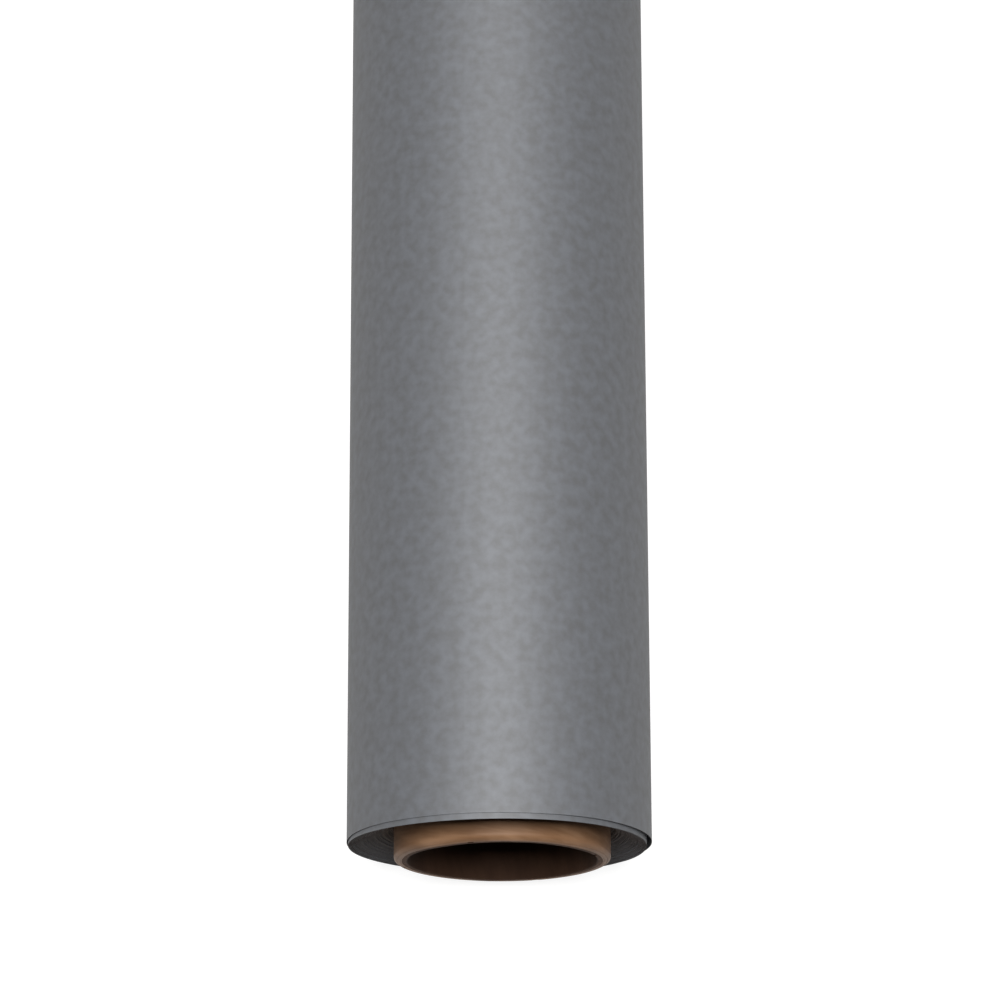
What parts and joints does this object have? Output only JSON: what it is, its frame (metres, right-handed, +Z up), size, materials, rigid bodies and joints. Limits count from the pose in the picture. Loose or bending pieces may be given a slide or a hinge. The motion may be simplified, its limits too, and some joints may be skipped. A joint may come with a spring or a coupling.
{
  "type": "backdrop paper roll",
  "caption": "Seamless studio backdrop paper wound on a spiral board core, lying on its side, with dished ends and a loose outer turn.",
  "frame": {"origin": "on the ground under the middle of the core, with the roll lying on its side", "axes": "+Y along the roll, away from the end with the core standing out less; +Z up; +X to the right seen from the -Y end, on the side where the loose turn stands off the roll"},
  "size_m": [0.0884, 1.37, 0.088],
  "materials": {
    "backdrop_paper": "uncoated mid-grey paper, matt, with a fine mottled grain",
    "core_board": "brown kraft paperboard, rubbed smooth on the outside, fibrous where cut",
    "core_liner": "darker brown paperboard, matt",
    "leader_tape": "creped masking tape, satin"
  },
  "bodies": {
    "outer_turns": {"wound_turns_6": "backdrop_paper", "outer_turn": "backdrop_paper"},
    "turns_5": {"wound_turns_5": "backdrop_paper"},
    "turns_4": {"wound_turns_4": "backdrop_paper"},
    "turns_3": {"wound_turns_3": "backdrop_paper"},
    "turns_2": {"wound_turns_2": "backdrop_paper"},
    "core": {"core_liner_ply": "core_liner", "core_body_ply_1": "core_board", "core_body_ply_2": "core_board", "core_outer_ply": "core_board", "leader_tape_1": "leader_tape", "leader_tape_2": "leader_tape", "leader_tape_3": "leader_tape", "wound_turns_1": "backdrop_paper"},
    "loose_end_1": {"loose_end_1": "backdrop_paper"},
    "loose_end_2": {"loose_end_2": "backdrop_paper"},
    "loose_end_3": {"loose_end_3": "backdrop_paper"},
    "loose_end_4": {"loose_end_4": "backdrop_paper"},
    "loose_end_5": {"loose_end_5": "backdrop_paper"},
    "loose_end_6": {"loose_end_6": "backdrop_paper"},
    "loose_end_7": {"loose_end_7": "backdrop_paper"}
  },
  "joints": [
    {"name": "core_slide", "type": "slide", "parent": "outer_turns", "child": "core", "axis": [0, 1, 0], "range_m": [-0.0154, 0.0046]},
    {"name": "turns_2_slide", "type": "slide", "parent": "outer_turns", "child": "turns_2", "axis": [0, 1, 0], "range_m": [-0.01232, 0.00368]},
    {"name": "turns_3_slide", "type": "slide", "parent": "outer_turns", "child": "turns_3", "axis": [0, 1, 0], "range_m": [-0.00924, 0.00276]},
    {"name": "turns_4_slide", "type": "slide", "parent": "outer_turns", "child": "turns_4", "axis": [0, 1, 0], "range_m": [-0.00616, 0.00184]},
    {"name": "turns_5_slide", "type": "slide", "parent": "outer_turns", "child": "turns_5", "axis": [0, 1, 0], "range_m": [-0.00308, 0.00092]},
    {"name": "loose_end_1_bend", "type": "hinge", "parent": "outer_turns", "child": "loose_end_1", "pos_m": [-0.00192, 0, 0.0878], "axis": [0, -1, 0], "range_deg": [0, 20], "stiffness_Nm_per_rad": 0.17},
    {"name": "loose_end_2_bend", "type": "hinge", "parent": "loose_end_1", "child": "loose_end_2", "pos_m": [0.01324, 0, 0.08581], "axis": [0, -1, 0], "range_deg": [0, 20], "stiffness_Nm_per_rad": 0.17},
    {"name": "loose_end_3_bend", "type": "hinge", "parent": "loose_end_2", "child": "loose_end_3", "pos_m": [0.0268, 0, 0.07875], "axis": [0, -1, 0], "range_deg": [0, 20], "stiffness_Nm_per_rad": 0.17},
    {"name": "loose_end_4_bend", "type": "hinge", "parent": "loose_end_3", "child": "loose_end_4", "pos_m": [0.03713, 0, 0.06748], "axis": [0, -1, 0], "range_deg": [0, 20], "stiffness_Nm_per_rad": 0.17},
    {"name": "loose_end_5_bend", "type": "hinge", "parent": "loose_end_4", "child": "loose_end_5", "pos_m": [0.04298, 0, 0.05335], "axis": [0, -1, 0], "range_deg": [0, 20], "stiffness_Nm_per_rad": 0.17},
    {"name": "loose_end_6_bend", "type": "hinge", "parent": "loose_end_5", "child": "loose_end_6", "pos_m": [0.04365, 0, 0.03808], "axis": [0, -1, 0], "range_deg": [0, 20], "stiffness_Nm_per_rad": 0.17},
    {"name": "loose_end_7_bend", "type": "hinge", "parent": "loose_end_6", "child": "loose_end_7", "pos_m": [0.03905, 0, 0.02349], "axis": [0, -1, 0], "range_deg": [0, 20], "stiffness_Nm_per_rad": 0.17}
  ],
  "couplings": [
    {"joint": "turns_2_slide", "follows": "core_slide", "ratio": 0.8},
    {"joint": "turns_3_slide", "follows": "core_slide", "ratio": 0.6},
    {"joint": "turns_4_slide", "follows": "core_slide", "ratio": 0.4},
    {"joint": "turns_5_slide", "follows": "core_slide", "ratio": 0.2},
    {"joint": "loose_end_2_bend", "follows": "loose_end_1_bend", "ratio": 1},
    {"joint": "loose_end_3_bend", "follows": "loose_end_1_bend", "ratio": 1},
    {"joint": "loose_end_4_bend", "follows": "loose_end_1_bend", "ratio": 1},
    {"joint": "loose_end_5_bend", "follows": "loose_end_1_bend", "ratio": 1},
    {"joint": "loose_end_6_bend", "follows": "loose_end_1_bend", "ratio": 1},
    {"joint": "loose_end_7_bend", "follows": "loose_end_1_bend", "ratio": 1}
  ]
}
